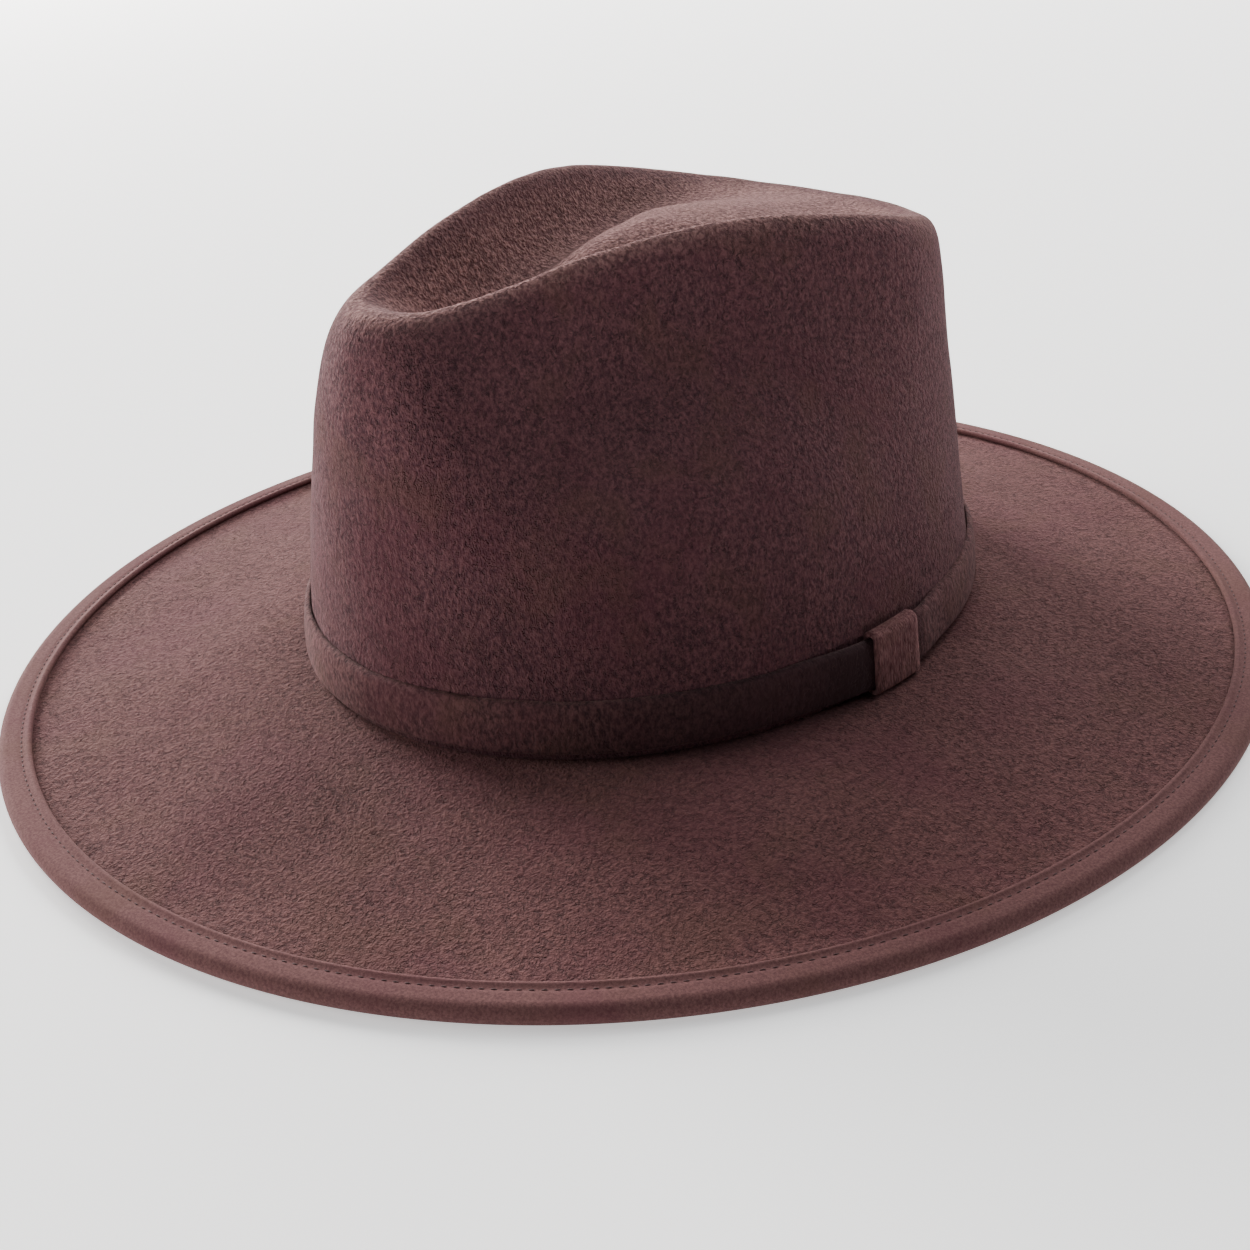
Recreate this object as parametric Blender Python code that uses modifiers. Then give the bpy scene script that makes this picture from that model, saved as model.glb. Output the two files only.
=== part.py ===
"""A rancher hat: a felt crown with a teardrop top, a wide brim, the welt that binds the brim's edge,
and a narrow band with the keeper that holds it.

Metres, +Z up. The hat rests on the flat underside of its welt at Z = 0. The front faces -Y and the
wearer's left is +X. A place round the hat is a turn in degrees: 0 at the front, 90 at the wearer's
left, 180 at the back. The hat is alike on both sides, apart from the keeper on the wearer's left.
"""

from math import cos, degrees, exp, pi, radians, sin

import bmesh
import bpy
from mathutils import Vector

# The head opening and the felt
HEAD_LENGTH = 0.199
HEAD_WIDTH = 0.175
FELT = 0.0025

# The crown: its height over the brim, the teardrop hollow in its top and the pinched sides
CROWN_HEIGHT = 0.1168
HOLLOW_DEPTH = 0.017
DOME_DROP = 0.0065
PINCH_DEPTH = 0.0045

# The brim: its width from crown to edge, and how far it falls on the way
BRIM_FRONT_WIDTH = 0.0880
BRIM_SIDE_WIDTH = 0.0875
BRIM_BACK_WIDTH = 0.0770
BRIM_DROP = 0.0063

# The welt folded round the brim's edge
WELT_FELT = 0.0012
WELT_WIDTH = 0.009

# The band and its keeper
BAND_HEIGHT = 0.0145
BAND_FELT = 0.0015
KEEPER_FELT = 0.0012
KEEPER_WIDTH = 0.0150
KEEPER_TURN = 93.5

# The clearance that neighbouring pieces keep
FIT_GAP = 0.0003

# Facets: steps round the hat, and steps round the folded edge of the welt
ROUND_STEPS = 72
EDGE_STEPS = 6

# The crest of the crown, as shares of the crown's half width, half length and height
CREST = (
    dict(turn=0, across=0.000, along=-0.811, height=0.895),
    dict(turn=20, across=0.150, along=-0.747, height=0.902),
    dict(turn=40, across=0.263, along=-0.575, height=0.934),
    dict(turn=60, across=0.362, along=-0.339, height=0.977),
    dict(turn=80, across=0.463, along=-0.080, height=1.000),
    dict(turn=100, across=0.545, along=0.190, height=0.981),
    dict(turn=120, across=0.590, along=0.450, height=0.932),
    dict(turn=140, across=0.520, along=0.680, height=0.880),
    dict(turn=160, across=0.310, along=0.845, height=0.845),
    dict(turn=180, across=0.000, along=0.900, height=0.835),
)

# The wall, from the brim to the crest: the share of the crest's height, and the share of the way
# inward to the crest at the front, the side and the back
WALL = (
    dict(rise=0.000, front=0.000, side=0.000, back=0.000),
    dict(rise=0.050, front=0.010, side=0.003, back=0.015),
    dict(rise=0.150, front=0.070, side=0.025, back=0.080),
    dict(rise=0.300, front=0.155, side=0.085, back=0.200),
    dict(rise=0.450, front=0.230, side=0.190, back=0.330),
    dict(rise=0.600, front=0.310, side=0.420, back=0.440),
    dict(rise=0.740, front=0.410, side=0.670, back=0.530),
    dict(rise=0.860, front=0.550, side=0.820, back=0.610),
    dict(rise=0.940, front=0.710, side=0.910, back=0.690),
    dict(rise=0.985, front=0.870, side=0.965, back=0.840),
    dict(rise=1.000, front=1.000, side=1.000, back=1.000),
)

# Where round the hat the wall turns from its front form to its side form, and on to its back form
SIDE_FORM = (12, 55)
BACK_FORM = (76, 138)

# The top, from just inside the crest to the middle of the dome: the share of the crest's reach from
# the middle, of the drop to the dome, and of the hollow's depth
TOP = (
    dict(reach=0.940, drop=0.030, sink=0.060),
    dict(reach=0.850, drop=0.120, sink=0.400),
    dict(reach=0.730, drop=0.300, sink=0.880),
    dict(reach=0.590, drop=0.520, sink=1.000),
    dict(reach=0.420, drop=0.760, sink=0.600),
    dict(reach=0.220, drop=0.940, sink=0.160),
    dict(reach=0.000, drop=1.000, sink=0.000),
)
TOP_MIDDLE = 0.100

# The hollow's depth round the hat, as a share of HOLLOW_DEPTH
HOLLOW = (
    dict(turn=0, depth=1.000),
    dict(turn=45, depth=0.900),
    dict(turn=90, depth=0.550),
    dict(turn=135, depth=0.150),
    dict(turn=180, depth=0.050),
)

# The dents pressed into each side of the wall: where, how far they spread and how deep they are
DENTS = (
    dict(turn=62, rise=0.740, turn_spread=26, rise_spread=0.170, depth=1.000),
    dict(turn=34, rise=0.880, turn_spread=12, rise_spread=0.200, depth=0.400),
)

# The brim between crown and edge: the share of its width and of its drop
BRIM_FALL = (
    dict(out=0.000, fall=0.000),
    dict(out=0.100, fall=0.035),
    dict(out=0.250, fall=0.180),
    dict(out=0.400, fall=0.390),
    dict(out=0.550, fall=0.620),
    dict(out=0.700, fall=0.830),
    dict(out=0.820, fall=0.960),
    dict(out=0.890, fall=1.000),
    dict(out=1.000, fall=1.000),
)

# Sizes that follow
WELT_HEIGHT = FELT + 2 * (WELT_FELT + FIT_GAP)
BRIM_EDGE_TOP = WELT_FELT + FIT_GAP + FELT
BRIM_TOP = BRIM_EDGE_TOP + BRIM_DROP
CROWN_FOOT = BRIM_TOP + FIT_GAP
KEEPER_ROOM = KEEPER_FELT + 2 * FIT_GAP
BAND_FOOT = BRIM_TOP + KEEPER_ROOM
HEAD_SET_BACK = (BRIM_FRONT_WIDTH - BRIM_BACK_WIDTH) / 2
BRIM_LENGTHWISE = (BRIM_FRONT_WIDTH + BRIM_BACK_WIDTH) / 2

MATERIALS = {
    "crown": ((0.135, 0.070, 0.072, 1), 0.95),
    "brim": ((0.150, 0.080, 0.080, 1), 0.95),
    "brim_welt": ((0.120, 0.062, 0.062, 1), 0.95),
    "hat_band": ((0.060, 0.030, 0.034, 1), 0.90),
    "band_keeper": ((0.090, 0.048, 0.050, 1), 0.90),
}


def clear_scene():
    for old in list(bpy.data.objects):
        bpy.data.objects.remove(old, do_unlink=True)


def named_collection(name):
    collection = bpy.data.collections.new(name)
    bpy.context.scene.collection.children.link(collection)
    return collection


def felt_material(name):
    colour, roughness = MATERIALS[name]
    material = bpy.data.materials.new(name)
    material.use_nodes = True
    shader = material.node_tree.nodes["Principled BSDF"]
    shader.inputs["Base Color"].default_value = colour
    shader.inputs["Roughness"].default_value = roughness
    shader.inputs["Metallic"].default_value = 0.0
    return material


def read_table(rows, key, column, place, mirrored=0):
    """Read a column of a table smoothly at a place. A table round the hat is mirrored past its ends,
    with the same sign (1) or the other (-1)."""
    places = [row[key] for row in rows]
    values = [row[column] for row in rows]
    if mirrored:
        places = [2 * places[0] - places[1]] + places + [2 * places[-1] - places[-2]]
        values = [mirrored * values[1]] + values + [mirrored * values[-2]]
    last = len(places) - 2
    left = min(max(sum(1 for p in places if p <= place) - 1, 0), last)

    def slope(i):
        low, high = max(i - 1, 0), min(i + 1, len(places) - 1)
        return (values[high] - values[low]) / (places[high] - places[low])

    span = places[left + 1] - places[left]
    t = (place - places[left]) / span
    return (
        values[left] * (1 + 2 * t) * (1 - t) ** 2
        + values[left + 1] * t * t * (3 - 2 * t)
        + span * t * (1 - t) * (slope(left) * (1 - t) - slope(left + 1) * t)
    )


def crown_oval(turn, out, height):
    """A point on the head's oval, grown outward."""
    angle = radians(turn)
    return Vector((
        (HEAD_WIDTH / 2 + out) * sin(angle),
        -(HEAD_LENGTH / 2 + out) * cos(angle) + HEAD_SET_BACK,
        height,
    ))


def edge_oval(turn, inset, height):
    """A point on the oval of the brim's finished edge, drawn in by an inset."""
    angle = radians(turn)
    return Vector((
        (HEAD_WIDTH / 2 + FELT + BRIM_SIDE_WIDTH - inset) * sin(angle),
        -(HEAD_LENGTH / 2 + FELT + BRIM_LENGTHWISE - inset) * cos(angle),
        height,
    ))


def smooth_share(place, start, end):
    share = min(max((place - start) / (end - start), 0.0), 1.0)
    return share * share * (3 - 2 * share)


def folded(turn):
    """The same place on the wearer's left, where the tables are read."""
    turn = turn % 360
    return min(turn, 360 - turn)


def crest_point(turn):
    side = 1 if turn % 360 <= 180 else -1
    place = folded(turn)
    across = read_table(CREST, "turn", "across", place, mirrored=-1)
    along = read_table(CREST, "turn", "along", place, mirrored=1)
    height = read_table(CREST, "turn", "height", place, mirrored=1)
    return Vector((
        side * across * (HEAD_WIDTH / 2 + FELT),
        along * (HEAD_LENGTH / 2 + FELT) + HEAD_SET_BACK,
        CROWN_FOOT + height * (CROWN_HEIGHT - FIT_GAP),
    ))


def wall_lean(turn, row):
    """The share of the way inward to the crest, from the front form over the side to the back."""
    place = folded(turn)
    lean = row["front"] + (row["side"] - row["front"]) * smooth_share(place, *SIDE_FORM)
    return lean + (row["back"] - lean) * smooth_share(place, *BACK_FORM)


def dent_depth(turn, rise):
    place = folded(turn)
    depth = 0.0
    for dent in DENTS:
        beside = (place - dent["turn"]) / dent["turn_spread"]
        above = (rise - dent["rise"]) / dent["rise_spread"]
        depth += PINCH_DEPTH * dent["depth"] * exp(-beside * beside - above * above)
    return depth


def wall_point(turn, row):
    foot = crown_oval(turn, FELT, CROWN_FOOT)
    crest = crest_point(turn)
    point = foot.lerp(crest, wall_lean(turn, row))
    point.z = foot.z + (crest.z - foot.z) * row["rise"]
    outward = Vector((foot.x, foot.y - HEAD_SET_BACK, 0)).normalized()
    return point - outward * dent_depth(turn, row["rise"])


def top_point(turn, row):
    crest = crest_point(turn)
    middle = Vector((
        0,
        TOP_MIDDLE * HEAD_LENGTH / 2 + HEAD_SET_BACK,
        crest_point(90).z - DOME_DROP,
    ))
    point = middle.lerp(crest, row["reach"])
    depth = HOLLOW_DEPTH * read_table(HOLLOW, "turn", "depth", folded(turn), mirrored=1)
    point.z = crest.z + (middle.z - crest.z) * row["drop"] - depth * row["sink"]
    return point


def round_turns():
    return [360 * step / ROUND_STEPS for step in range(ROUND_STEPS)]


def mesh_object(name, collection, bm):
    mesh = bpy.data.meshes.new(name)
    bmesh.ops.recalc_face_normals(bm, faces=bm.faces)
    bm.to_mesh(mesh)
    bm.free()
    mesh.shade_smooth()
    if name in MATERIALS:
        mesh.materials.append(felt_material(name))
    piece = bpy.data.objects.new(name, mesh)
    collection.objects.link(piece)
    return piece


def join_rings(bm, lower, upper):
    """Faces between two rings of as many corners each."""
    count = len(lower)
    for i in range(count):
        bm.faces.new((lower[i], lower[(i + 1) % count], upper[(i + 1) % count], upper[i]))


def ring_of(bm, points):
    return [bm.verts.new(point) for point in points]


def add_felt(piece, thickness, offset):
    solidify = piece.modifiers.new("felt thickness", "SOLIDIFY")
    solidify.thickness = thickness
    solidify.offset = offset
    solidify.use_even_offset = True


def make_crown(collection):
    """One sheet from the foot of the wall over the crest and down into the hollow, thickened inward."""
    bm = bmesh.new()
    rings = [ring_of(bm, [wall_point(turn, row) for turn in round_turns()]) for row in WALL]
    rings += [ring_of(bm, [top_point(turn, row) for turn in round_turns()]) for row in TOP[:-1]]
    for lower, upper in zip(rings, rings[1:]):
        join_rings(bm, lower, upper)
    middle = bm.verts.new(top_point(0, TOP[-1]))
    last = rings[-1]
    for i in range(ROUND_STEPS):
        bm.faces.new((last[i], last[(i + 1) % ROUND_STEPS], middle))
    crown = mesh_object("crown", collection, bm)
    add_felt(crown, FELT, -1)
    return crown


def brim_ring(out_share, fall_share):
    """A ring of the brim's upper face, from the crown's foot (0) to the edge inside the welt (1)."""
    height = BRIM_TOP - BRIM_DROP * fall_share
    return [
        crown_oval(turn, FELT, height).lerp(
            edge_oval(turn, WELT_FELT + FIT_GAP, height), out_share
        )
        for turn in round_turns()
    ]


def make_brim(collection):
    """One sheet from the head opening, under the crown's foot, out to the edge, thickened downward."""
    bm = bmesh.new()
    rings = [ring_of(bm, [crown_oval(turn, 0, BRIM_TOP) for turn in round_turns()])]
    rings += [ring_of(bm, brim_ring(row["out"], row["fall"])) for row in BRIM_FALL]
    for inner, outer in zip(rings, rings[1:]):
        join_rings(bm, outer, inner)
    brim = mesh_object("brim", collection, bm)
    flat_top = max(brim.data.polygons, key=lambda face: face.center.z)
    if flat_top.normal.z < 0:
        brim.data.flip_normals()
    add_felt(brim, FELT, -1)
    return brim


def closed_ring_body(name, collection, profile_at):
    """A closed cross-section carried round the hat."""
    bm = bmesh.new()
    sections = [ring_of(bm, profile_at(turn)) for turn in round_turns()]
    for i in range(ROUND_STEPS):
        join_rings(bm, sections[i], sections[(i + 1) % ROUND_STEPS])
    return mesh_object(name, collection, bm)


def welt_profile(turn):
    """The welt's cross-section: a rounded fold outside, and a slot that takes the brim's edge."""
    radius = WELT_HEIGHT / 2
    outline = [(WELT_WIDTH, 0.0)]
    for step in range(EDGE_STEPS + 1):
        angle = pi * step / EDGE_STEPS - pi / 2
        outline.append((radius - radius * cos(angle), radius + radius * sin(angle)))
    outline += [
        (WELT_WIDTH, WELT_HEIGHT),
        (WELT_WIDTH, WELT_HEIGHT - WELT_FELT),
        (WELT_FELT, WELT_HEIGHT - WELT_FELT),
        (WELT_FELT, WELT_FELT),
        (WELT_WIDTH, WELT_FELT),
    ]
    return [edge_oval(turn, inset, height) for inset, height in outline]


def keeper_reach():
    """Half the keeper's width, as a turn."""
    return degrees(KEEPER_WIDTH / 2 / (HEAD_LENGTH / 2 + FELT))


def band_stand_off(turn):
    """The band stands off the crown where it passes through the keeper, and lies against it beyond."""
    step = 360 / ROUND_STEPS
    full = keeper_reach() + step
    away = abs(turn - KEEPER_TURN)
    return FIT_GAP + (KEEPER_ROOM - FIT_GAP) * (1 - smooth_share(away, full, full + 2 * step))


def band_profile(turn):
    inner = FELT + band_stand_off(turn)
    outer = inner + BAND_FELT
    edge = BAND_FELT / 3
    outline = (
        (inner, 0.0),
        (outer - edge, 0.0),
        (outer, edge),
        (outer, BAND_HEIGHT - edge),
        (outer - edge, BAND_HEIGHT),
        (inner, BAND_HEIGHT),
    )
    return [crown_oval(turn, out, BAND_FOOT + height) for out, height in outline]


def make_keeper(collection):
    """A flat loop of felt round the band, bent to the crown's oval."""
    back = FELT + FIT_GAP
    front = FELT + KEEPER_ROOM + BAND_FELT + FIT_GAP + KEEPER_FELT
    foot = BAND_FOOT - FIT_GAP - KEEPER_FELT
    head = BAND_FOOT + BAND_HEIGHT + FIT_GAP + KEEPER_FELT
    outer = ((back, foot), (front, foot), (front, head), (back, head))
    inner = (
        (back + KEEPER_FELT, foot + KEEPER_FELT),
        (front - KEEPER_FELT, foot + KEEPER_FELT),
        (front - KEEPER_FELT, head - KEEPER_FELT),
        (back + KEEPER_FELT, head - KEEPER_FELT),
    )
    bm = bmesh.new()
    turns = [KEEPER_TURN + keeper_reach() * share for share in (-1, -0.5, 0, 0.5, 1)]
    outsides = [ring_of(bm, [crown_oval(turn, *corner) for corner in outer]) for turn in turns]
    insides = [ring_of(bm, [crown_oval(turn, *corner) for corner in inner]) for turn in turns]
    for rings in (outsides, insides):
        for one, other in zip(rings, rings[1:]):
            join_rings(bm, one, other)
    join_rings(bm, outsides[0], insides[0])
    join_rings(bm, outsides[-1], insides[-1])
    return mesh_object("band_keeper", collection, bm)


def make_hat():
    clear_scene()
    collection = named_collection("rancher_hat")
    make_crown(collection)
    make_brim(collection)
    closed_ring_body("brim_welt", collection, welt_profile)
    closed_ring_body("hat_band", collection, band_profile)
    make_keeper(collection)


make_hat()
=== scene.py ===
"""The rancher hat as it looks: napped felt pressed into a teardrop crown, a stitched welt round the
brim, and a narrow band in its keeper.

Metres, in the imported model's frame: the front faces -Y, the wearer's left is +X, +Z is up. A place
round the hat is a turn in degrees: 0 at the front, 90 at the wearer's left, 180 at the back.
"""

from math import cos, pi, radians, sin

import bpy
import numpy as np
from mathutils import Matrix, Vector, noise


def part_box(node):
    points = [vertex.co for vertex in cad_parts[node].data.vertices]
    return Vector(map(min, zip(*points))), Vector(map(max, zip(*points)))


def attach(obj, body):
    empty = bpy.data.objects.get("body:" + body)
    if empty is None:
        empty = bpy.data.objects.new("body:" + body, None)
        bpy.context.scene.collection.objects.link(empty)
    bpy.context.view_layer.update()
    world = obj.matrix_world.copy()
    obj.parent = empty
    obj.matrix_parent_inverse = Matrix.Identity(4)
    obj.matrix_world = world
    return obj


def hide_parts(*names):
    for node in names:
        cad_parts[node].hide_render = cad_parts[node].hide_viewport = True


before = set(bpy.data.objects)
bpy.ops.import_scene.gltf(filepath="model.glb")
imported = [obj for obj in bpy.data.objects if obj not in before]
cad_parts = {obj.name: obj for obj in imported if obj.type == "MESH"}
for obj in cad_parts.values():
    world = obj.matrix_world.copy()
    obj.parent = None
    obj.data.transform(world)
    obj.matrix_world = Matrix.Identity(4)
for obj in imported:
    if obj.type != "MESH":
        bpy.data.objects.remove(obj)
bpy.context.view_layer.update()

# The camera: where it looks, from which turn and rise, how far off, and its tilt
LOOK_AT = Vector((0.0386, -0.0341, 0.0268))
CAMERA_TURN = 51.69
CAMERA_RISE = 27.29
CAMERA_DISTANCE = 0.450
CAMERA_TILT = -4.41
LENS_MM = 48.6
SENSOR_MM = 36.0

# The studio lamps round the hat, the brightest of them low: turn, rise, watts, and warmth of the light
LAMP_DISTANCE = 3.5
LAMP_SIZE = 1.9
LAMPS = (
    dict(name="window", turn=270, rise=20, watts=295, tone=(1.00, 0.96, 0.93)),
    dict(name="window_front", turn=315, rise=20, watts=96, tone=(1.00, 0.96, 0.94)),
    dict(name="window_back", turn=225, rise=32, watts=85, tone=(1.00, 0.98, 0.96)),
    dict(name="back", turn=190, rise=46, watts=80, tone=(1.00, 1.00, 1.00)),
    dict(name="back_left", turn=150, rise=38, watts=31, tone=(0.92, 0.96, 1.00)),
    dict(name="front_fill", turn=0, rise=20, watts=15, tone=(0.90, 0.95, 1.00)),
)
SKY_STRENGTH = 0.03
FLOOR_GLOW = 0.6
FLOOR_REACH = 8.0

# Sizes read from the frame
CROWN_LOW, CROWN_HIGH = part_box("crown")
WELT_LOW, WELT_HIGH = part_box("brim_welt")
BAND_LOW, BAND_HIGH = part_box("hat_band")
KEEPER_LOW, KEEPER_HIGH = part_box("band_keeper")
BRIM_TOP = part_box("brim")[1].z
HALF_WIDTH = (CROWN_HIGH.x - CROWN_LOW.x) / 2
HALF_LENGTH = (CROWN_HIGH.y - CROWN_LOW.y) / 2
HEAD_SET_BACK = (CROWN_HIGH.y + CROWN_LOW.y) / 2
CROWN_FOOT = CROWN_LOW.z
CROWN_RISE = CROWN_HIGH.z - CROWN_FOOT
EDGE_HALF_WIDTH = (WELT_HIGH.x - WELT_LOW.x) / 2
EDGE_HALF_LENGTH = (WELT_HIGH.y - WELT_LOW.y) / 2
WELT_HEIGHT = WELT_HIGH.z - WELT_LOW.z
KEEPER_TURN = 90 + np.degrees(((KEEPER_LOW.y + KEEPER_HIGH.y) / 2 - HEAD_SET_BACK) / HALF_LENGTH)
KEEPER_REACH = np.degrees((KEEPER_HIGH.y - KEEPER_LOW.y) / 2 / HALF_LENGTH)

# The felts' thicknesses, the clearance between pieces, and the depths of the dents
FELT = 0.0025
WELT_FELT = 0.0012
WELT_WIDTH = 0.0090
BAND_FELT = 0.0015
KEEPER_FELT = 0.0012
FIT_GAP = 0.0003
HOLLOW_DEPTH = 0.017
DOME_DROP = 0.0095
PINCH_DEPTH = 0.0045

# How finely the pieces are made, and how round the crest is
ROUND_STEPS = 384
PROFILE_STEPS = 7
CROWN_ROWS = 120
CREST_ROUNDS = 12
CREST_LIFT = 0.0024
# How far from the crest its bigger tufts and its painted highlight reach, and how much of both the whole top gets
CREST_TUFTS_AND_HIGHLIGHT_REACH = 0.005
TOP_TUFTS_AND_HIGHLIGHT = 1.0

# The crest of the crown, as shares of the crown's half width, half length and rise
CREST = (
    dict(turn=0, across=0.000, along=-0.811, height=0.895),
    dict(turn=20, across=0.150, along=-0.747, height=0.902),
    dict(turn=40, across=0.263, along=-0.575, height=0.934),
    dict(turn=60, across=0.362, along=-0.339, height=0.977),
    dict(turn=80, across=0.463, along=-0.080, height=1.000),
    dict(turn=100, across=0.545, along=0.190, height=0.981),
    dict(turn=120, across=0.590, along=0.450, height=0.932),
    dict(turn=140, across=0.520, along=0.680, height=0.880),
    dict(turn=160, across=0.310, along=0.845, height=0.845),
    dict(turn=180, across=0.000, along=0.900, height=0.835),
)

# The wall: the share of the crest's height, and of the way inward at the front, side and back
WALL = (
    dict(rise=0.000, front=0.000, side=0.000, back=0.000),
    dict(rise=0.050, front=0.010, side=0.003, back=0.015),
    dict(rise=0.150, front=0.070, side=0.025, back=0.080),
    dict(rise=0.300, front=0.155, side=0.085, back=0.200),
    dict(rise=0.450, front=0.230, side=0.190, back=0.330),
    dict(rise=0.600, front=0.310, side=0.420, back=0.440),
    dict(rise=0.740, front=0.410, side=0.670, back=0.530),
    dict(rise=0.860, front=0.550, side=0.820, back=0.610),
    dict(rise=0.940, front=0.710, side=0.910, back=0.690),
    dict(rise=0.985, front=0.870, side=0.965, back=0.840),
    dict(rise=1.000, front=1.000, side=1.000, back=1.000),
)
SIDE_FORM = (12, 55)
BACK_FORM = (76, 138)

# The top: the share of the crest's reach, of the drop to the dome and of the hollow's depth
TOP = (
    dict(reach=0.940, drop=0.030, sink=0.060),
    dict(reach=0.850, drop=0.120, sink=0.400),
    dict(reach=0.730, drop=0.300, sink=0.880),
    dict(reach=0.590, drop=0.520, sink=1.000),
    dict(reach=0.420, drop=0.760, sink=0.600),
    dict(reach=0.220, drop=0.940, sink=0.160),
    dict(reach=0.000, drop=1.000, sink=0.000),
)
TOP_MIDDLE = 0.0975
HOLLOW = (
    dict(turn=0, depth=1.000),
    dict(turn=45, depth=1.050),
    dict(turn=90, depth=0.950),
    dict(turn=135, depth=0.400),
    dict(turn=180, depth=0.050),
)

# Dents pressed into both sides of the wall
DENTS = (
    dict(turn=62, rise=0.740, turn_spread=26, rise_spread=0.170, depth=1.000),
    dict(turn=34, rise=0.880, turn_spread=12, rise_spread=0.200, depth=0.400),
)

# The brim between crown and edge: the share of its width and of its drop
BRIM_FALL = (
    dict(out=0.000, fall=0.000),
    dict(out=0.100, fall=0.035),
    dict(out=0.250, fall=0.180),
    dict(out=0.400, fall=0.390),
    dict(out=0.550, fall=0.620),
    dict(out=0.700, fall=0.830),
    dict(out=0.820, fall=0.960),
    dict(out=0.890, fall=1.000),
    dict(out=1.000, fall=1.000),
)

# The welt's inner lip, the groove that its stitches lie in, and the stitches
LIP_WIDTH = 0.0013
LIP_RAISE = 0.00035
GROOVE_INSET = 0.0066
GROOVE_WIDTH = 0.0007
GROOVE_DEPTH = 0.00018
STITCH_PITCH = 0.0027
STITCH_LENGTH = 0.0017
STITCH_RADIUS = 0.00017
STITCH_SINK = 0.00012


def read_table(rows, key, column, places, mirrored=0):
    """Read a column of a table smoothly at many places. A table round the hat is mirrored past its
    ends, with the same sign (1) or the other (-1)."""
    knots = np.array([row[key] for row in rows], float)
    values = np.array([row[column] for row in rows], float)
    if mirrored:
        knots = np.concatenate(([2 * knots[0] - knots[1]], knots, [2 * knots[-1] - knots[-2]]))
        values = np.concatenate(([mirrored * values[1]], values, [mirrored * values[-2]]))
    low = np.maximum(np.arange(len(knots)) - 1, 0)
    high = np.minimum(np.arange(len(knots)) + 1, len(knots) - 1)
    slopes = (values[high] - values[low]) / (knots[high] - knots[low])
    left = np.clip(np.searchsorted(knots, places, "right") - 1, 0, len(knots) - 2)
    span = knots[left + 1] - knots[left]
    t = (places - knots[left]) / span
    return (
        values[left] * (1 + 2 * t) * (1 - t) ** 2
        + values[left + 1] * t * t * (3 - 2 * t)
        + span * t * (1 - t) * (slopes[left] * (1 - t) - slopes[left + 1] * t)
    )


def smooth_share(place, start, end):
    share = np.clip((place - start) / (end - start), 0.0, 1.0)
    return share * share * (3 - 2 * share)


def hill(place, middle, width):
    """A soft hill of height 1 over a place."""
    return np.exp(-((place - middle) / width) ** 2)


def round_turns(steps=ROUND_STEPS):
    return np.arange(steps) * 360 / steps


def folded(turns):
    turns = turns % 360
    return np.minimum(turns, 360 - turns)


def crown_oval(turns, out, height):
    """Points on the crown's foot oval, grown outward."""
    angle = np.radians(turns)
    return np.stack(np.broadcast_arrays(
        (HALF_WIDTH + out) * np.sin(angle),
        -(HALF_LENGTH + out) * np.cos(angle) + HEAD_SET_BACK,
        height,
    ), axis=-1)


def edge_oval(turns, inset, height):
    """Points on the oval of the brim's edge, drawn in by an inset."""
    angle = np.radians(turns)
    return np.stack(np.broadcast_arrays(
        (EDGE_HALF_WIDTH - inset) * np.sin(angle),
        -(EDGE_HALF_LENGTH - inset) * np.cos(angle),
        height,
    ), axis=-1)


def crest_points(turns):
    side = np.where(turns % 360 <= 180, 1, -1)
    place = folded(turns)
    across = read_table(CREST, "turn", "across", place, mirrored=-1)
    along = read_table(CREST, "turn", "along", place, mirrored=1)
    height = read_table(CREST, "turn", "height", place, mirrored=1)
    return np.stack((
        side * across * HALF_WIDTH,
        along * HALF_LENGTH + HEAD_SET_BACK,
        CROWN_FOOT + height * CROWN_RISE + CREST_LIFT,
    ), axis=-1)


def wall_points(turns, row):
    place = folded(turns)
    lean = row["front"] + (row["side"] - row["front"]) * smooth_share(place, *SIDE_FORM)
    lean = lean + (row["back"] - lean) * smooth_share(place, *BACK_FORM)
    foot = crown_oval(turns, 0.0, CROWN_FOOT)
    crest = crest_points(turns)
    points = foot + (crest - foot) * lean[:, None]
    points[:, 2] = foot[:, 2] + (crest[:, 2] - foot[:, 2]) * row["rise"]
    outward = foot - (0, HEAD_SET_BACK, CROWN_FOOT)
    outward /= np.linalg.norm(outward, axis=1)[:, None]
    depth = sum(
        PINCH_DEPTH * dent["depth"]
        * hill(place, dent["turn"], dent["turn_spread"])
        * hill(row["rise"], dent["rise"], dent["rise_spread"])
        for dent in DENTS
    )
    return points - outward * depth[:, None]


def top_points(turns, row):
    crest = crest_points(turns)
    middle = np.array((
        0,
        TOP_MIDDLE * HALF_LENGTH + HEAD_SET_BACK,
        crest_points(np.array([90.0]))[0, 2] - DOME_DROP,
    ))
    points = middle + (crest - middle) * row["reach"]
    depth = HOLLOW_DEPTH * read_table(HOLLOW, "turn", "depth", folded(turns), mirrored=1)
    points[:, 2] = crest[:, 2] + (middle[2] - crest[:, 2]) * row["drop"] - depth * row["sink"]
    return points


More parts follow.
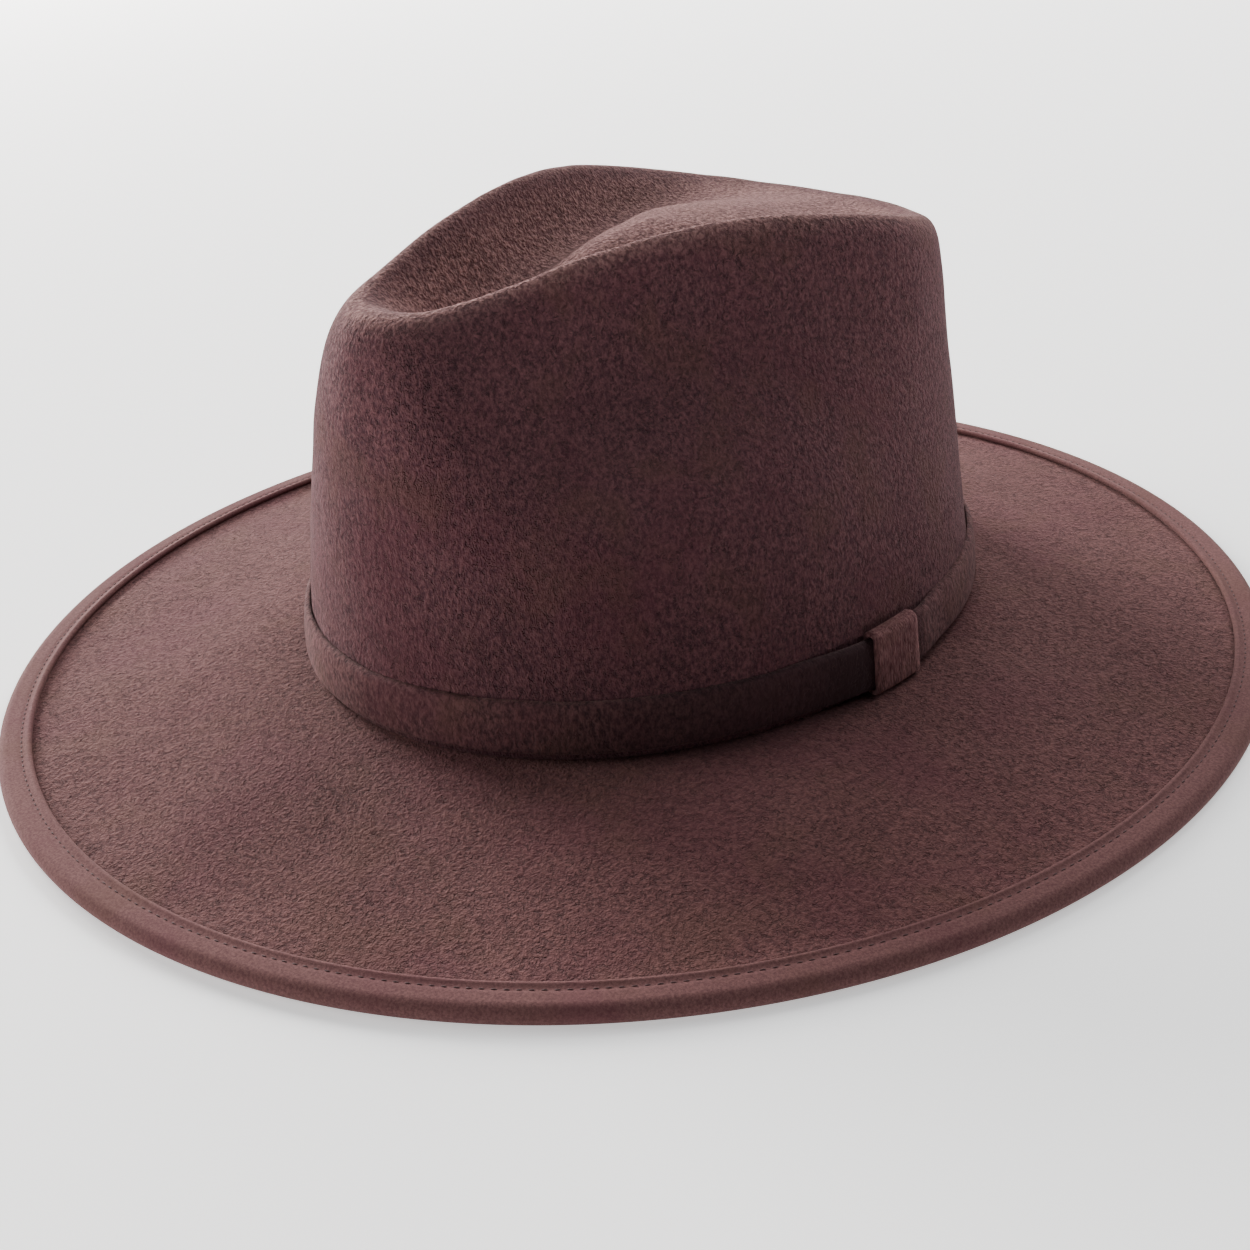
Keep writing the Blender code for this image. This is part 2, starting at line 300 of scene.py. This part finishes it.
def smooth_rows(rows, steps):
    """Rows of points through the given rows, on smooth curves across them."""
    rows = np.asarray(rows)
    spans = np.linalg.norm(np.diff(rows, axis=0), axis=2)
    spans = np.maximum(spans, 1e-7) ** 0.5
    secants = np.diff(rows, axis=0) / spans[..., None]
    slopes = np.empty_like(rows)
    slopes[0], slopes[-1] = secants[0], secants[-1]
    before, after = spans[:-1, :, None], spans[1:, :, None]
    slopes[1:-1] = (secants[:-1] * after + secants[1:] * before) / (before + after)
    made = [rows[0]]
    for i, span in enumerate(spans):
        span = span[:, None]
        for step in range(1, steps + 1):
            t = step / steps
            made.append(
                rows[i] * (1 + 2 * t) * (1 - t) ** 2
                + rows[i + 1] * t * t * (3 - 2 * t)
                + span * t * (1 - t) * (slopes[i] * (1 - t) - slopes[i + 1] * t)
            )
    return np.array(made)


def even_rows(rows, count):
    """The same sheet with its rows spread evenly along each profile, and how far along they lie."""
    lengths = np.linalg.norm(np.diff(rows, axis=0), axis=2).cumsum(axis=0)
    lengths = np.concatenate((np.zeros((1, rows.shape[1])), lengths))
    even = np.empty((count,) + rows.shape[1:])
    for i in range(rows.shape[1]):
        places = np.linspace(0, lengths[-1, i], count)
        for axis in range(3):
            even[:, i, axis] = np.interp(places, lengths[:, i], rows[:, i, axis])
    return even, lengths


def rounded_rows(rows, rounds):
    """Soften the profile's bends, with its ends held."""
    for _ in range(rounds):
        rows[1:-1] += 0.5 * ((rows[:-2] + rows[2:]) / 2 - rows[1:-1])
    return rows


def ripple(points, size, height, seed):
    """A soft unevenness of the felt: one height for each point."""
    offset = Vector((seed * 3.1, seed * 1.7, seed * 2.3))
    heights = [noise.noise(Vector(point) / size + offset) for point in points.reshape(-1, 3)]
    return height * np.array(heights).reshape(points.shape[:-1])


def row_normals(rows):
    """Normals of a sheet whose rows run round the hat."""
    round_way = np.roll(rows, -1, axis=1) - np.roll(rows, 1, axis=1)
    cross_way = np.gradient(rows, axis=0)
    normals = np.cross(round_way, cross_way)
    return normals / np.maximum(np.linalg.norm(normals, axis=2), 1e-12)[..., None]


def sheet_mesh(name, rows, closed_across=False, middle=None):
    """A mesh over rows of points that close round the hat."""
    count, steps = rows.shape[:2]
    corners = rows.reshape(-1, 3).tolist()
    this_row = np.arange(count if closed_across else count - 1)[:, None] * steps
    next_row = (this_row + steps) % (count * steps)
    here = np.arange(steps)[None]
    there = (here + 1) % steps
    faces = np.stack(
        (this_row + here, this_row + there, next_row + there, next_row + here), axis=-1
    ).reshape(-1, 4).tolist()
    if middle is not None:
        first = (count - 1) * steps
        faces += [(first + i, first + (i + 1) % steps, len(corners)) for i in range(steps)]
        corners.append(tuple(middle))
    return new_piece(name, corners, faces)


def new_piece(name, corners, faces):
    mesh = bpy.data.meshes.new(name)
    mesh.from_pydata(corners, [], faces)
    mesh.shade_smooth()
    piece = bpy.data.objects.new(name, mesh)
    bpy.context.scene.collection.objects.link(piece)
    return piece


def mark_points(piece, name, values):
    """Store a value at each point, for the finish to read."""
    marks = piece.data.attributes.new(name, "FLOAT", "POINT")
    marks.data.foreach_set("value", np.asarray(values, np.float32).ravel())


def add_felt(piece, thickness):
    """Give a sheet its thickness inward, and keep the result as a mesh."""
    solidify = piece.modifiers.new("felt", "SOLIDIFY")
    solidify.thickness = thickness
    solidify.offset = -1
    shown = piece.evaluated_get(bpy.context.evaluated_depsgraph_get())
    mesh = bpy.data.meshes.new_from_object(shown)
    piece.modifiers.clear()
    piece.data = mesh
    mesh.shade_smooth()


def finish_piece(piece, finish):
    piece.data.materials.clear()
    piece.data.materials.append(finish)
    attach(piece, "root")
    return piece


class Wire:
    """A value on its way between nodes, which takes part in sums."""

    def __init__(self, bench, socket):
        self.bench = bench
        self.socket = socket

    def sum_with(self, operation, first, second):
        return self.bench.node("ShaderNodeMath", {"operation": operation}, {0: first, 1: second})

    def __add__(self, other):
        return self.sum_with("ADD", self, other)

    def __radd__(self, other):
        return self.sum_with("ADD", other, self)

    def __sub__(self, other):
        return self.sum_with("SUBTRACT", self, other)

    def __rsub__(self, other):
        return self.sum_with("SUBTRACT", other, self)

    def __mul__(self, other):
        return self.sum_with("MULTIPLY", self, other)

    def __rmul__(self, other):
        return self.sum_with("MULTIPLY", other, self)

    def __abs__(self):
        return self.bench.node("ShaderNodeMath", {"operation": "ABSOLUTE"}, {0: self})


class Bench:
    """One finish, and the nodes laid out to make it."""

    def __init__(self, name):
        self.material = bpy.data.materials.new(name)
        self.material.use_nodes = True
        self.tree = self.material.node_tree
        self.shader = self.tree.nodes["Principled BSDF"]

    def feed(self, socket, value):
        if isinstance(value, Wire):
            self.tree.links.new(value.socket, socket)
        else:
            socket.default_value = value

    def node(self, kind, settings=None, values=None, out=0):
        made = self.tree.nodes.new(kind)
        for setting, value in (settings or {}).items():
            setattr(made, setting, value)
        for socket, value in (values or {}).items():
            self.feed(made.inputs[socket], value)
        return Wire(self, made.outputs[out])

    def mix(self, share, first, second):
        settings = {"data_type": "RGBA", "clamp_factor": True}
        return self.node("ShaderNodeMix", settings, {0: share, 6: first, 7: second}, out=2)

    def ramp(self, value, low, high):
        """How far a value has come from low to high, from 0 to 1."""
        settings = {"clamp": True, "interpolation_type": "SMOOTHSTEP"}
        return self.node("ShaderNodeMapRange", settings, {0: value, 1: low, 2: high, 3: 0.0, 4: 1.0})

    def grain(self, place, size, detail=2.0, roughness=0.55, warp=0.0):
        """A noise whose hills are about one size across."""
        values = {
            "Vector": place,
            "Scale": 0.6 / size,
            "Detail": detail,
            "Roughness": roughness,
            "Distortion": warp,
        }
        return self.node("ShaderNodeTexNoise", values=values)

    def mark(self, name):
        """A value stored at the mesh's points."""
        return self.node("ShaderNodeAttribute", {"attribute_name": name}, out=2)


def colour(red, green, blue):
    """A colour from its screen values."""
    def light(value):
        value /= 255
        return value / 12.92 if value <= 0.04045 else ((value + 0.055) / 1.055) ** 2.4
    return (light(red), light(green), light(blue), 1.0)


# Dyed felt: the lit tips of its nap, the pits between them, and the drifts of its dye; also a painted highlight
# for the crown's crest and top, painted shade for the band beside its keeper, and the keeper's tips painted
# lighter for the light on its face
FELT_TIP = colour(106, 69, 67)
FELT_PIT = colour(70, 43, 45)
CROWN_TIP = colour(106, 68, 71)
CROWN_PIT = colour(62, 37, 44)
FELT_WINE = colour(88, 47, 55)
FELT_BROWN = colour(88, 60, 52)
# A painted highlight, much lighter than the felt, laid along the crest and over the top
CREST_HIGHLIGHT = colour(158, 118, 113)
WELT_TIP = colour(110, 75, 73)
WELT_PIT = colour(84, 55, 56)
BAND_TIP = colour(108, 72, 72)
# The band's pits, and also the painted shade it darkens to beside its keeper
BAND_PIT_AND_SHADE = colour(50, 32, 35)
# The keeper's tips are painted far lighter than the band's felt: a painted highlight for the light on its face
KEEPER_HIGHLIGHT_TIP = colour(156, 110, 107)
KEEPER_PIT = colour(74, 47, 50)
THREAD = colour(64, 42, 43)


def felt_finish(name, tip, pit, tuft=0.0007, combed=(1, 1, 1), depth=0.0011, pits=1.0, marks=None):
    """Napped felt: soft tufts, short worm-like pits between them, and slow drifts of the dye."""
    bench = Bench(name)
    place = bench.node("ShaderNodeTexCoord", out=3)
    nap = bench.node("ShaderNodeMapping", values={0: place, 3: combed})
    tufts = bench.grain(nap, tuft, detail=2.0, roughness=0.6, warp=0.25)
    lint = bench.grain(nap, tuft * 0.4, detail=1.0)
    creases = bench.grain(nap, tuft * 1.3, detail=1.0, warp=0.6)
    gaps = bench.grain(nap, tuft * 2.2, detail=1.0)
    worms = (1.0 - bench.ramp(abs(creases - 0.5), 0.0, 0.045)) * bench.ramp(gaps, 0.46, 0.58)
    height = tufts * 0.62 + lint * 0.26 + (1.0 - worms * pits) * 0.40
    lit = bench.ramp(tufts * 0.7 + lint * 0.3, 0.30, 0.70) * (1.0 - worms * (0.75 * pits))
    felt = bench.mix(lit, pit, tip)
    wine = bench.grain(place, 0.022, detail=3.0)
    brown = bench.grain(place, 0.014, detail=3.0)
    felt = bench.mix(bench.ramp(wine, 0.47, 0.66) * 0.35, felt, FELT_WINE)
    felt = bench.mix(bench.ramp(brown, 0.50, 0.68) * 0.35, felt, FELT_BROWN)
    if marks == "crest":
        # Painted highlight: the crest and the whole top are lightened toward a pale tint, and their tufts stand
        # higher
        crest = bench.mark("crest")
        height = height + crest * tufts * 0.5
        felt = bench.mix(crest * (0.25 + bench.ramp(tufts, 0.40, 0.66) * 0.65), felt, CREST_HIGHLIGHT)
    if marks == "shade":
        # Painted shade: the band darkens toward its pit colour where the shade mark lies
        felt = bench.mix(bench.mark("shade"), felt, BAND_PIT_AND_SHADE)
    values = {"Strength": 1.0, "Distance": depth, "Height": height}
    bench.feed(bench.shader.inputs["Base Color"], felt)
    bench.feed(bench.shader.inputs["Roughness"], 1.0 - lit * 0.12)
    bench.feed(bench.shader.inputs["Normal"], bench.node("ShaderNodeBump", values=values))
    bench.shader.inputs["Specular IOR Level"].default_value = 0.2
    bench.shader.inputs["Sheen Weight"].default_value = 0.14
    bench.shader.inputs["Sheen Roughness"].default_value = 0.4
    bench.shader.inputs["Sheen Tint"].default_value = colour(214, 172, 168)
    return bench.material


def thread_finish():
    """Sewing thread: dark, and twisted across its length."""
    bench = Bench("thread")
    place = bench.node("ShaderNodeTexCoord", out=3)
    twist = bench.grain(place, 0.0002, detail=1.0)
    bench.feed(bench.shader.inputs["Base Color"], bench.mix(twist, THREAD, WELT_PIT))
    bench.feed(bench.shader.inputs["Roughness"], 0.9 - twist * 0.2)
    return bench.material


def crown_rows():
    """The crown's outer face, as rows of points from its foot to the middle of its top."""
    turns = round_turns()
    stations = [wall_points(turns, row) for row in WALL] + [top_points(turns, row) for row in TOP]
    rows, lengths = even_rows(smooth_rows(stations, PROFILE_STEPS), CROWN_ROWS)
    crest_at = lengths[(len(WALL) - 1) * PROFILE_STEPS]
    places = np.linspace(0, 1, CROWN_ROWS)[:, None] * lengths[-1]
    # The crest mark: bigger tufts and a painted highlight, along the crest and over the whole top beyond it
    near_crest = hill(places, crest_at, CREST_TUFTS_AND_HIGHLIGHT_REACH)
    top = TOP_TUFTS_AND_HIGHLIGHT * smooth_share(places - crest_at, 0.0, 3 * CREST_TUFTS_AND_HIGHLIGHT_REACH)
    return rounded_rows(rows, CREST_ROUNDS), np.maximum(near_crest, top)


def make_crown(rows, crest):
    calm = smooth_share(np.arange(CROWN_ROWS), 0, 8)[:, None]
    normals = row_normals(rows)
    lift = ripple(rows, 0.030, 0.0006, 1) + ripple(rows, 0.011, 0.00022, 2)
    rows = rows + normals * (lift * calm)[..., None]
    crown = sheet_mesh("felt_crown", rows[:-1], middle=rows[-1].mean(axis=0))
    # The crest mark carries the bigger tufts and the painted highlight
    mark_points(crown, "crest", np.append(crest[:-1].ravel(), crest[-1, 0]))
    add_felt(crown, FELT)
    finish = felt_finish(
        "crown felt", CROWN_TIP, CROWN_PIT, tuft=0.0006, combed=(1, 1, 0.65), depth=0.0013, pits=1.0, marks="crest"
    )
    finish_piece(crown, finish)
    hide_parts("crown")


def make_brim():
    turns = round_turns()
    tuck = WELT_FELT + FIT_GAP
    drop = BRIM_TOP - (WELT_HEIGHT - tuck)
    stations = [crown_oval(turns, -FELT, BRIM_TOP)]
    for row in BRIM_FALL:
        height = BRIM_TOP - drop * row["fall"]
        foot = crown_oval(turns, 0.0, height)
        edge = edge_oval(turns, tuck, height)
        stations.append(foot + (edge - foot) * row["out"])
    rows = smooth_rows(stations[::-1], PROFILE_STEPS)
    normals = row_normals(rows)
    calm = np.ones(len(rows))
    calm[:PROFILE_STEPS + 2] = 0
    calm[-PROFILE_STEPS:] = 0
    lift = ripple(rows, 0.035, 0.0006, 3) + ripple(rows, 0.012, 0.00015, 4)
    rows = rows + normals * (lift * calm[:, None])[..., None]
    brim = sheet_mesh("felt_brim", rows)
    add_felt(brim, FELT)
    finish_piece(brim, felt_finish("brim felt", FELT_TIP, FELT_PIT))
    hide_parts("brim")


def welt_outline():
    """The welt's cross-section as insets and heights: a rounded fold, a stitched top with a raised
    lip, and the slot that holds the brim."""
    radius = WELT_HEIGHT / 2
    slot_top, slot_foot = WELT_HEIGHT - WELT_FELT, WELT_FELT
    fold = [
        (radius - radius * cos(pi * (i / 20 - 0.5)), radius + radius * sin(pi * (i / 20 - 0.5)))
        for i in range(21)
    ]
    foot = [(inset, 0.0) for inset in np.linspace(WELT_WIDTH, radius, 5)[:-1]]
    head = []
    for inset in np.linspace(radius, WELT_WIDTH, 34)[1:]:
        lip = hill(inset, WELT_WIDTH - LIP_WIDTH / 2, LIP_WIDTH / 2) * LIP_RAISE
        groove = hill(inset, GROOVE_INSET, GROOVE_WIDTH) * GROOVE_DEPTH
        head.append((inset, WELT_HEIGHT + lip - groove))
    lip_edge = [
        (WELT_WIDTH + 0.00025, WELT_HEIGHT - 0.00012),
        (WELT_WIDTH + 0.00032, WELT_HEIGHT - 0.00045),
        (WELT_WIDTH + 0.00020, slot_top + 0.00010),
    ]
    slot = [
        (WELT_WIDTH, slot_top), (WELT_FELT, slot_top), (WELT_FELT, slot_foot), (WELT_WIDTH, slot_foot)
    ]
    return foot + fold + head + lip_edge + slot


def make_welt():
    turns = round_turns()
    rows = np.array([edge_oval(turns, inset, height) for inset, height in welt_outline()])
    welt = sheet_mesh("edge_welt", rows, closed_across=True)
    finish = felt_finish("welt felt", WELT_TIP, WELT_PIT, tuft=0.0004, depth=0.00014, pits=0.35)
    finish_piece(welt, finish)
    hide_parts("brim_welt")
    make_stitches()


def make_stitches():
    """A row of short stitches sunk in the welt's groove, all in one mesh."""
    fine = round_turns(3600)
    line = edge_oval(fine, GROOVE_INSET, WELT_HEIGHT - GROOVE_DEPTH - STITCH_SINK)
    steps = np.linalg.norm(np.roll(line, -1, axis=0) - line, axis=1)
    along = np.concatenate(([0], steps.cumsum()))
    count = round(along[-1] / STITCH_PITCH)
    ring, rings = 6, 5
    corners, faces = [], []
    for i in range(count):
        middle = (i + 0.5) * along[-1] / count
        base = len(corners)
        for j in range(rings):
            share = j / (rings - 1) * 2 - 1
            turn = np.interp(middle + share * STITCH_LENGTH / 2, along, np.append(fine, 360.0))
            centre = Vector(edge_oval(turn, GROOVE_INSET, line[0, 2]))
            outward = Vector((sin(radians(turn)), -cos(radians(turn)), 0))
            radius = STITCH_RADIUS * (1.0 - 0.75 * share ** 4)
            for k in range(ring):
                angle = 2 * pi * k / ring
                rise = Vector((0, 0, radius * 1.3 * sin(angle) + STITCH_RADIUS * (1 - share ** 2)))
                corners.append(tuple(centre + outward * radius * cos(angle) + rise))
        for j in range(rings - 1):
            for k in range(ring):
                here, there = base + j * ring + k, base + j * ring + (k + 1) % ring
                faces.append((here, there, there + ring, here + ring))
        faces.append(tuple(base + k for k in reversed(range(ring))))
        faces.append(tuple(base + (rings - 1) * ring + k for k in range(ring)))
    return finish_piece(new_piece("welt_stitches", corners, faces), thread_finish())


def against_wall(rows, turns, out, height):
    """Points at one height outside the crown's wall, by a distance for each turn."""
    wall = rows[: CROWN_ROWS // 2]
    count = wall.shape[1]
    columns = np.round(np.asarray(turns) * count / 360).astype(int) % count
    points = np.array([
        [np.interp(height, wall[:, i, 2], wall[:, i, axis]) for axis in range(2)] for i in columns
    ])
    angle = np.radians(turns)
    outward = np.stack((np.sin(angle) / HALF_WIDTH, -np.cos(angle) / HALF_LENGTH), axis=-1)
    outward /= np.linalg.norm(outward, axis=1)[:, None]
    points = points + outward * np.broadcast_to(out, len(columns))[:, None]
    return np.column_stack((points, np.full(len(columns), height)))


def make_band(wall):
    """The band lies against the crown's wall, bulges a little, and lifts to pass its keeper."""
    turns = round_turns()
    away = np.abs(turns - KEEPER_TURN)
    clear = KEEPER_REACH + 1.5
    lift = FIT_GAP + (KEEPER_FELT + FIT_GAP) * (1 - smooth_share(away, clear, clear + 9))
    height = BAND_HIGH.z - BAND_LOW.z
    outline = []
    for share in np.linspace(0, 1, 25):
        edge = min(share, 1 - share) * height
        curve = min(edge / 0.0016, 1.0)
        outline.append((BAND_FELT * (1 - (1 - curve) ** 2) ** 0.5 + 0.0003 * sin(pi * share), share))
    outline += [(0.0, share) for share in np.linspace(0.97, 0.03, 6)]
    rows = np.array([
        against_wall(wall, turns, lift + out, BAND_LOW.z + share * height) for out, share in outline
    ])
    swell = ripple(rows, 0.016, 0.00035, 7)
    edge = ripple(rows * (1, 1, 0), 0.012, 0.00025, 8)
    rows[..., :2] += (rows[..., :2] - (0, HEAD_SET_BACK)) * (swell / 0.09)[..., None].clip(0)
    rows[..., 2] += edge
    band = sheet_mesh("felt_band", rows, closed_across=True)
    place = np.broadcast_to(turns, rows.shape[:2])
    # Painted shade along the band: darker over the wearer's left side, darkest at the keeper where its shadow
    # falls, lighter again just past it
    shade = 0.7 * smooth_share(place, 22, 74) + 0.3 * smooth_share(place, 74, 88)
    shade = shade * (1 - smooth_share(place, 96, 103))
    mark_points(band, "shade", shade)
    finish = felt_finish(
        "band felt", BAND_TIP, BAND_PIT_AND_SHADE, tuft=0.0007, combed=(1, 1, 0.6), depth=0.0006, pits=0.4, marks="shade"
    )
    finish_piece(band, finish)
    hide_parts("hat_band")


def make_keeper(wall):
    """A flat loop of felt round the band, its nap combed downward."""
    turns = KEEPER_TURN + KEEPER_REACH * np.linspace(-1, 1, 21)
    foot, head = KEEPER_LOW.z, KEEPER_HIGH.z
    back = FIT_GAP
    front = 3 * FIT_GAP + 2 * KEEPER_FELT + BAND_FELT

    def loop(inset):
        """A rounded rectangle of distances from the wall and heights."""
        corner = 0.0018 - inset
        low, high = foot + inset, head - inset
        near, far = back + inset, front - inset
        centres = (
            (far - corner, low + corner, -90), (far - corner, high - corner, 0),
            (near + corner, high - corner, 90), (near + corner, low + corner, 180),
        )
        return [
            (c + corner * cos(radians(start + step)), h + corner * sin(radians(start + step)))
            for c, h, start in centres
            for step in (0, 22.5, 45, 67.5, 90)
        ]

    def along_keeper(inset):
        return [
            [against_wall(wall, [turn], out, height)[0] for out, height in loop(inset)]
            for turn in turns
        ]

    rows = np.array(along_keeper(0.0) + along_keeper(KEEPER_FELT)[::-1])
    keeper = sheet_mesh("felt_keeper", rows[::-1], closed_across=True)
    # The keeper's felt, its tips painted lighter as a painted highlight
    finish = felt_finish(
        "keeper felt", KEEPER_HIGHLIGHT_TIP, KEEPER_PIT, tuft=0.0004, combed=(1, 1, 0.2), depth=0.0008, pits=0.8
    )
    finish_piece(keeper, finish)
    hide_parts("band_keeper")


def make_floor():
    reach = FLOOR_REACH
    corners = [(-reach, -reach, 0), (reach, -reach, 0), (reach, reach, 0), (-reach, reach, 0)]
    floor = new_piece("pale_floor", corners, [(0, 1, 2, 3)])
    bench = Bench("pale floor")
    bench.shader.inputs["Base Color"].default_value = (0.93, 0.93, 0.93, 1)
    bench.shader.inputs["Roughness"].default_value = 0.95
    bench.shader.inputs["Emission Color"].default_value = (1.0, 1.0, 1.0, 1)
    bench.shader.inputs["Emission Strength"].default_value = FLOOR_GLOW
    floor.data.materials.append(bench.material)


def toward(turn, rise):
    """The direction out to a turn and a rise."""
    turn, rise = radians(turn), radians(rise)
    return Vector((sin(turn) * cos(rise), -cos(turn) * cos(rise), sin(rise)))


def make_lights():
    sky = bpy.data.worlds.new("studio")
    bpy.context.scene.world = sky
    sky.use_nodes = True
    background = sky.node_tree.nodes["Background"]
    background.inputs["Color"].default_value = (0.95, 0.97, 1.0, 1)
    background.inputs["Strength"].default_value = SKY_STRENGTH
    for lamp in LAMPS:
        data = bpy.data.lights.new(lamp["name"], "AREA")
        data.shape = "DISK"
        data.size = LAMP_SIZE
        data.energy = lamp["watts"]
        data.color = lamp["tone"]
        placed = bpy.data.objects.new(lamp["name"], data)
        bpy.context.scene.collection.objects.link(placed)
        direction = toward(lamp["turn"], lamp["rise"])
        placed.location = direction * LAMP_DISTANCE
        placed.rotation_euler = direction.to_track_quat("Z", "Y").to_euler()


def make_camera():
    back = toward(CAMERA_TURN, CAMERA_RISE)
    tilt = radians(CAMERA_TILT)
    right = Vector((0, 0, 1)).cross(back).normalized()
    up = back.cross(right)
    tilted_right = right * cos(tilt) + up * sin(tilt)
    tilted_up = up * cos(tilt) - right * sin(tilt)
    data = bpy.data.cameras.new("camera")
    data.sensor_width = SENSOR_MM
    data.lens = LENS_MM
    data.clip_start = 0.01
    camera = bpy.data.objects.new("camera", data)
    bpy.context.scene.collection.objects.link(camera)
    axes = Matrix((tilted_right, tilted_up, back)).transposed().to_4x4()
    camera.matrix_world = Matrix.Translation(LOOK_AT + back * CAMERA_DISTANCE) @ axes
    bpy.context.scene.camera = camera


make_camera()
make_lights()
make_floor()
wall, crest = crown_rows()
make_crown(wall, crest)
make_brim()
make_welt()
make_band(wall)
make_keeper(wall)
